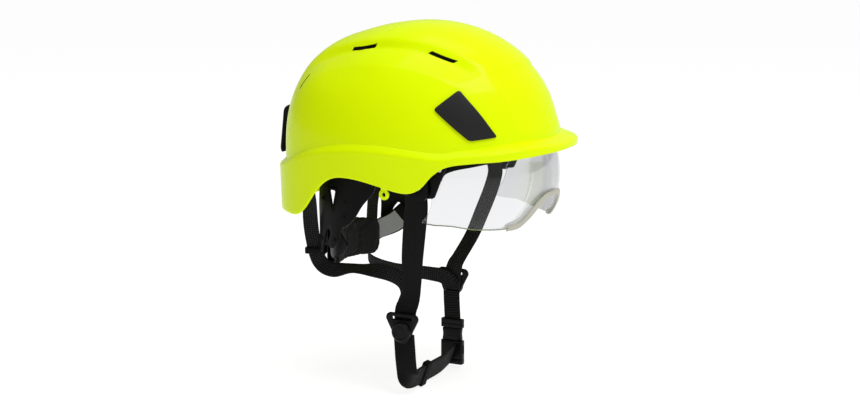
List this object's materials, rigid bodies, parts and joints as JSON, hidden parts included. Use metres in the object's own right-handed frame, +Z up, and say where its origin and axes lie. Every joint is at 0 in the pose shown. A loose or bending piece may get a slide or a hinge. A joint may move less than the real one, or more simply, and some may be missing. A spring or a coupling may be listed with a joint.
{
  "type": "rescue helmet with eye visor",
  "caption": "Vented hi-vis rescue helmet with a raised crown band, retractable clear eye visor, ratchet headband and a four-point chin strap.",
  "frame": {"origin": "on the middle plane where the wearer's head is seated, 123.5 mm under the crown, level with the lower edge of the headband's front", "axes": "+X to the front of the helmet, +Y to the wearer's left, +Z up out of the crown"},
  "size_m": [0.306, 0.22, 0.3573],
  "materials": {
    "shell_abs": "glossy moulded, fluorescent yellow-green",
    "black_plastic": "satin moulded",
    "buckle_plastic": "fine spark texture",
    "lens": "clear polycarbonate",
    "trim": "soft matte",
    "webbing": "woven polyester",
    "foam": "knitted cover over foam",
    "label": "plain, translucent grey",
    "steel": "zinc plated",
    "gear": "acetal"
  },
  "bodies": {
    "helmet": {"shell": "shell_abs", "side_plate_right": "black_plastic", "side_plate_left": "black_plastic", "rear_clip": "black_plastic", "eyelet_right": "shell_abs", "eyelet_left": "shell_abs", "pivot_bracket_right": "black_plastic", "pivot_bracket_left": "black_plastic", "pivot_pin_right": "steel", "pivot_pin_left": "steel", "headband": "black_plastic", "sweatband": "foam", "yoke_right": "black_plastic", "yoke_left": "black_plastic", "yoke_clips": "black_plastic", "cradle_strap_upper": "webbing", "cradle_strap_lower": "webbing", "cradle_anchors": "black_plastic", "band_arm_right": "black_plastic", "band_arm_left": "black_plastic", "size_label": "label", "front_anchor_right": "black_plastic", "front_anchor_left": "black_plastic", "rear_anchor_right": "black_plastic", "rear_anchor_left": "black_plastic", "front_strap_right": "webbing", "front_strap_left": "webbing", "rear_strap_right": "webbing", "rear_strap_left": "webbing", "adjust_strap": "webbing", "buckle_male": "buckle_plastic", "chin_strap": "webbing"},
    "visor": {"visor_lens": "lens", "visor_frame": "black_plastic", "visor_arm_right": "black_plastic", "visor_arm_left": "black_plastic", "nose_trim": "trim", "lens_rivets": "steel"},
    "nape": {"nape_housing": "black_plastic", "nape_cover": "black_plastic", "nape_pad": "foam"},
    "knob": {"size_knob": "black_plastic", "ratchet_pinion": "gear", "knob_screw": "steel"},
    "divider_right": {"slider_right": "buckle_plastic", "slider_cap_right": "buckle_plastic"},
    "divider_left": {"slider_left": "buckle_plastic", "slider_cap_left": "buckle_plastic"},
    "buckle": {"buckle_female": "buckle_plastic"},
    "keeper": {"strap_keeper": "webbing"}
  },
  "joints": [
    {"name": "visor_tilt", "type": "hinge", "parent": "helmet", "child": "visor", "pos_m": [0.04, 0, -0.02], "axis": [0, -1, 0], "range_deg": [0, 50]},
    {"name": "nape_slide", "type": "slide", "parent": "helmet", "child": "nape", "axis": [-1, 0, 0], "range_m": [-0.008, 0.012], "deforming": ["band_arm_right", "band_arm_left", "size_label"]},
    {"name": "knob_turn", "type": "hinge", "parent": "nape", "child": "knob", "pos_m": [-0.1, 0, -0.101], "axis": [1, 0, 0], "range_deg": [-70, 100]},
    {"name": "divider_right_slide", "type": "slide", "parent": "helmet", "child": "divider_right", "axis": [0, 0, 1], "range_m": [-0.006, 0.006], "deforming": ["front_strap_right", "rear_strap_right", "chin_strap"]},
    {"name": "divider_left_slide", "type": "slide", "parent": "helmet", "child": "divider_left", "axis": [0, 0, 1], "range_m": [-0.006, 0.006], "deforming": ["front_strap_left", "rear_strap_left", "adjust_strap"]},
    {"name": "buckle_release", "type": "slide", "parent": "helmet", "child": "buckle", "axis": [0, 0, -1], "range_m": [0, 0.022], "deforming": ["chin_strap"]},
    {"name": "keeper_slide", "type": "slide", "parent": "helmet", "child": "keeper", "axis": [0, 1, 0], "range_m": [-0.006, 0.03]}
  ],
  "couplings": [
    {"joint": "knob_turn", "follows": "nape_slide", "rad_per_m": 133.33}
  ]
}
